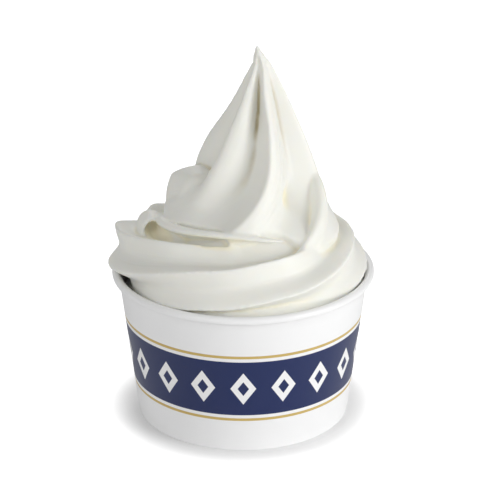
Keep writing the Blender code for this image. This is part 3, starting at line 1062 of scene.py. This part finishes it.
piped_all = copy_of(coil_pieces + [peak_piece] + folds, "piped")
skin_modifier = yogurt.modifiers.new("soft_skin", "NODES")
skin_modifier.node_group = skin_tree
set_input(skin_modifier, "Material", YOGURT)
set_input(skin_modifier, "Piped", piped_all)
set_input(skin_modifier, "Gap", curl_hollow)
for label, value in SKIN.items():
    set_input(skin_modifier, label, value)
bake(yogurt)
leftovers = [*coil_pieces, *folds, peak_piece, curl, curl_hollow, piped_all]
for used in leftovers + [bpy.data.objects["cup_space"]]:
    bpy.data.objects.remove(used)
yogurt.name = "yogurt_swirl"
yogurt.data.shade_smooth()
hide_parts("frozen_yogurt")
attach(yogurt, "root")
yogurt.data.calc_loop_triangles()
print("the swirl has", len(yogurt.data.loop_triangles), "triangles")

# %% [markdown]
# ## The paper cup
# A paper cup is a fan-shaped blank, rolled up and glued along a side seam. Its top is curled into a
# round rim and its foot is folded inward over the base. The outline is turned round the axis, as on
# a lathe, and at the back the second layer of board makes a low step.

# %% Turn the wall
SEAM_WIDTH = 9.0
SEAM_STEP = 0.25
SEAM_EDGE = 0.8
WALL_STEPS = 12
TOE_RADIUS = 0.35


def wall_profile():
    """The wall's outline: foot, outside, rolled rim, inside, and the fold at the foot."""
    join = RIM_HEIGHT - ROLL_RADIUS
    roll = arc(RIM_RADIUS, RIM_HEIGHT, ROLL_RADIUS, -120, 180, 28)
    fold_out = inner_radius(FOLD_HEIGHT) - PAPER - 2 * GAP
    fold_in = fold_out - PAPER
    lean = inner_radius(join) + PAPER - FOOT_RADIUS
    outside = [(FOOT_RADIUS + lean * k / WALL_STEPS, join * k / WALL_STEPS)
               for k in range(1, WALL_STEPS + 1)]
    levels = [join * k / WALL_STEPS for k in range(WALL_STEPS, 1, -1)]
    inside = [(inner_radius(level), level) for level in levels]
    foot = arc(FOOT_RADIUS - TOE_RADIUS, TOE_RADIUS, TOE_RADIUS, 270, 360, 4)
    toe = arc(fold_in + TOE_RADIUS, TOE_RADIUS, TOE_RADIUS, 180, 270, 4)
    fold = [(FOOT_RADIUS - PAPER, PAPER), (fold_out, PAPER), (fold_out, FOLD_HEIGHT)]
    return foot + outside + roll + inside + fold + [(fold_in, FOLD_HEIGHT)] + toe


def add_seam(piece):
    """Lift the outside by one layer of board along a strip at the back."""
    outside = [v for v in piece.data.vertices if v.co.z / MM < RIM_HEIGHT - 2 * ROLL_RADIUS]
    for vert in outside:
        radius = math.hypot(vert.co.x, vert.co.y) / MM
        if radius < inner_radius(vert.co.z / MM) + 0.5 * PAPER:
            continue
        away = math.atan2(vert.co.x, vert.co.y) * radius
        lift = soft_step((SEAM_WIDTH / 2 - abs(away)) / SEAM_EDGE + 0.5) * SEAM_STEP
        vert.co.x *= 1 + lift / radius
        vert.co.y *= 1 + lift / radius


wall = turned("paper_wall", wall_profile())
add_seam(wall)
wall.data.shade_smooth()
wall.data.set_sharp_from_angle(angle=math.radians(50))
print("the wall has", len(wall.data.polygons), "faces")


# %% Press the base
RING_AWAY = 8.0
RING_RADIUS = 0.35
BASE_BEVEL = (0.6, 0.5)


def press_base():
    """A shallow dish, upside down, with a low ring pressed into its floor."""
    top = BASE_HEIGHT + PAPER
    skirt_foot = PAPER + GAP
    skirt_out = inner_radius(skirt_foot) - GAP
    skirt_in = inner_radius(FOLD_HEIGHT) - PAPER - GAP
    ring = arc(skirt_in - RING_AWAY, BASE_HEIGHT, RING_RADIUS, 180, 0, 6)
    under = [(0.0, BASE_HEIGHT), *ring, (skirt_in - BASE_BEVEL[0], BASE_HEIGHT)]
    under += [(skirt_in, BASE_HEIGHT - BASE_BEVEL[1]), (skirt_in, skirt_foot)]
    outer = [(skirt_out, skirt_foot), (inner_radius(top) - GAP, top), (0.0, top)]
    return turned("paper_base", under + outer, closed=False)


base = press_base()
base.data.shade_smooth()
base.data.set_sharp_from_angle(angle=math.radians(35))
print("the base has", len(base.data.polygons), "faces")

# %% [markdown]
# ## Print on coated board
# The board is white, smooth and faintly fibrous. The wall carries a plain dairy-bar pattern: a navy
# band with gold lines along both edges and a row of open white diamonds. It is drawn from the angle
# round the cup and the height, so it has no seam and needs no image.

# %% The paper's look
NAVY = (0.003, 0.015, 0.095)
GOLD = (0.62, 0.44, 0.13)
BOARD = (0.95, 0.95, 0.95)
BAND_LOW = 15.0
BAND_HIGH = 37.0
GOLD_WIDTH = 1.1
GOLD_AWAY = 1.3
MOTIFS = 18
MOTIF_SIZE = 4.6
MOTIF_HOLE = 0.45
MOTIF_SLOPE = 0.7
INK_EDGE = 0.12
INK_DEPTH = 8
BAND_RADIUS = 0.9
BOARD_PATCH = 0.97
# The scales of the grain and of its patches, how far they are drawn out upward, and the least
# roughness and what a patch adds to it.
BOARD_GRAIN = (700.0, 90.0, 0.35)
BOARD_ROUGH = (0.32, 0.12)


def strip(height, middle, width):
    """A mask that is 1 within a strip of a given width, in millimetres, with a fine soft edge."""
    return ((width / 2 - (height - middle).size()) / INK_EDGE + 0.5).limit()


def inner_wall(height):
    """The inside of the wall as a node sum, to keep the print off it."""
    low = FOOT_RADIUS - PAPER
    return height * ((RIM_RADIUS - ROLL_RADIUS - low) / RIM_HEIGHT) + low


def board_look(name, printed):
    look, tree, shader = start_look(name, 0.38, Coat_Weight=0.15, Coat_Roughness=0.25)
    grain = grain_in(tree, *BOARD_GRAIN)
    patch = Number(tree, grain.outputs["Patch"])
    colour = mixed(tree, patch, BOARD, tuple(BOARD_PATCH * c for c in BOARD))
    if printed:
        x, y, z = axes(tree, object_place(tree))
        height = z / MM
        radius = (x * x + y * y).math("SQRT") / MM
        ink = ((radius - inner_wall(height) - PAPER / 2) * INK_DEPTH).limit()
        band = strip(height, (BAND_LOW + BAND_HIGH) / 2, BAND_HIGH - BAND_LOW)
        gold = 0
        for edge, way in ((BAND_LOW, -1), (BAND_HIGH, 1)):
            gold = strip(height, edge + way * (GOLD_AWAY + GOLD_WIDTH / 2), GOLD_WIDTH) + gold
        turn = x.math("ARCTAN2", y) / (2 * math.pi) * MOTIFS + 0.5
        wide = 2 * math.pi * RIM_RADIUS * BAND_RADIUS / MOTIFS
        sideways = (turn.part() - 0.5).size() * wide
        upward = (height - (BAND_LOW + BAND_HIGH) / 2).size() * MOTIF_SLOPE
        diamond = ((MOTIF_SIZE - sideways - upward) / INK_EDGE).limit()
        hole = ((MOTIF_SIZE * MOTIF_HOLE - sideways - upward) / INK_EDGE).limit()
        colour = mixed(tree, band * ink * (1 - diamond) + hole * ink, colour, NAVY)
        colour = mixed(tree, gold * ink, colour, GOLD)
    tree.links.new(colour, shader.inputs["Base Color"])
    feed(tree, shader.inputs["Roughness"], patch * BOARD_ROUGH[1] + BOARD_ROUGH[0])
    roughen(tree, shader, grain.outputs["Grain"], 0.08, 0.0001)
    return look


wall.data.materials.append(board_look("printed_board", True))
base.data.materials.append(board_look("plain_board", False))
for piece, node, slot in ((wall, "cup_wall", "cup_paper"), (base, "cup_base", "base_paper")):
    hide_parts(node)
    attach(piece, "root")
print("the cup is printed")

# %% [markdown]
# ## Floor, light and camera
# The cup stands on a white sheet. A strong soft light on the right and weaker ones at the left and
# behind give the ridges their shape, and a bright sky fills the shadows, so that the hollows stay
# pale. As the camera sees it, the sheet glows a little, but not close to the cup, where the shadow
# lies. The camera looks down on the cup through a long lens.

# %% The stage
FLOOR_GLOW = 0.75
GLOW_START = 0.0385
GLOW_REACH = 0.016
floor_mesh = bpy.data.meshes.new("sheet")
floor_mesh.from_pydata([(-4, -4, 0), (4, -4, 0), (4, 4, 0), (-4, 4, 0)], [], [(0, 1, 2, 3)])
floor = link("floor", floor_mesh)
floor_look, floor_tree, floor_shader = start_look("white_sheet", 0.9)
floor_patch = Number(floor_tree, grain_in(floor_tree, 40.0, 3.0).outputs["Patch"])
floor_colour = mixed(floor_tree, floor_patch, (0.93,) * 3, (0.95,) * 3)
floor_tree.links.new(floor_colour, floor_shader.inputs["Base Color"])
floor_shader.inputs["Emission Color"].default_value = (1.0, 1.0, 1.0, 1.0)
seen = Number(floor_tree, add(floor_tree, "ShaderNodeLightPath").outputs["Is Camera Ray"])
away = add(floor_tree, "ShaderNodeVectorMath", {0: object_place(floor_tree)}, operation="LENGTH")
away = Number(floor_tree, away.outputs["Value"])
glow = seen * (((away - GLOW_START) / GLOW_REACH).smooth() * FLOOR_GLOW)
feed(floor_tree, floor_shader.inputs["Emission Strength"], glow)
floor_mesh.materials.append(floor_look)

LIGHT_SIZE = 0.4
LIGHT_AWAY = 0.8
LIGHT_AIM = Vector((0, 0, 0.08))


def area_light(name, azimuth, elevation, power):
    """A soft square light, aimed at the middle of the cup."""
    around, up = math.radians(azimuth), math.radians(elevation)
    away = Vector((math.sin(around) * math.cos(up), -math.cos(around) * math.cos(up), math.sin(up)))
    lamp = bpy.data.lights.new(name, "AREA")
    lamp.size = LIGHT_SIZE
    lamp.energy = power
    made = link(name, lamp)
    made.location = LIGHT_AIM + away * LIGHT_AWAY
    made.rotation_euler = (-away).to_track_quat("-Z", "Y").to_euler()


area_light("key", 58, 10, 3.35)
area_light("left", -34, 22, 1.2)
area_light("behind", 180, 30, 1.0)
world = bpy.data.worlds.new("bright_room")
bpy.context.scene.world = world
world.use_nodes = True
sky = world.node_tree.nodes["Background"]
sky.inputs["Color"].default_value = (1.0, 1.0, 1.0, 1.0)
sky.inputs["Strength"].default_value = 0.39

CAMERA_DOWN = 0.3997  # radians
CAMERA_TURN = -0.0031
camera = link("camera", bpy.data.cameras.new("camera"))
camera.location = (0.0, -0.8, 0.3994)
camera.rotation_euler = (math.pi / 2 - CAMERA_DOWN, 0.0, CAMERA_TURN)
camera.data.sensor_width = 36.0
camera.data.lens = 172.94
camera.data.clip_end = 20.0
bpy.context.scene.camera = camera
bpy.context.scene.view_settings.view_transform = "Standard"
print("camera", tuple(camera.location))
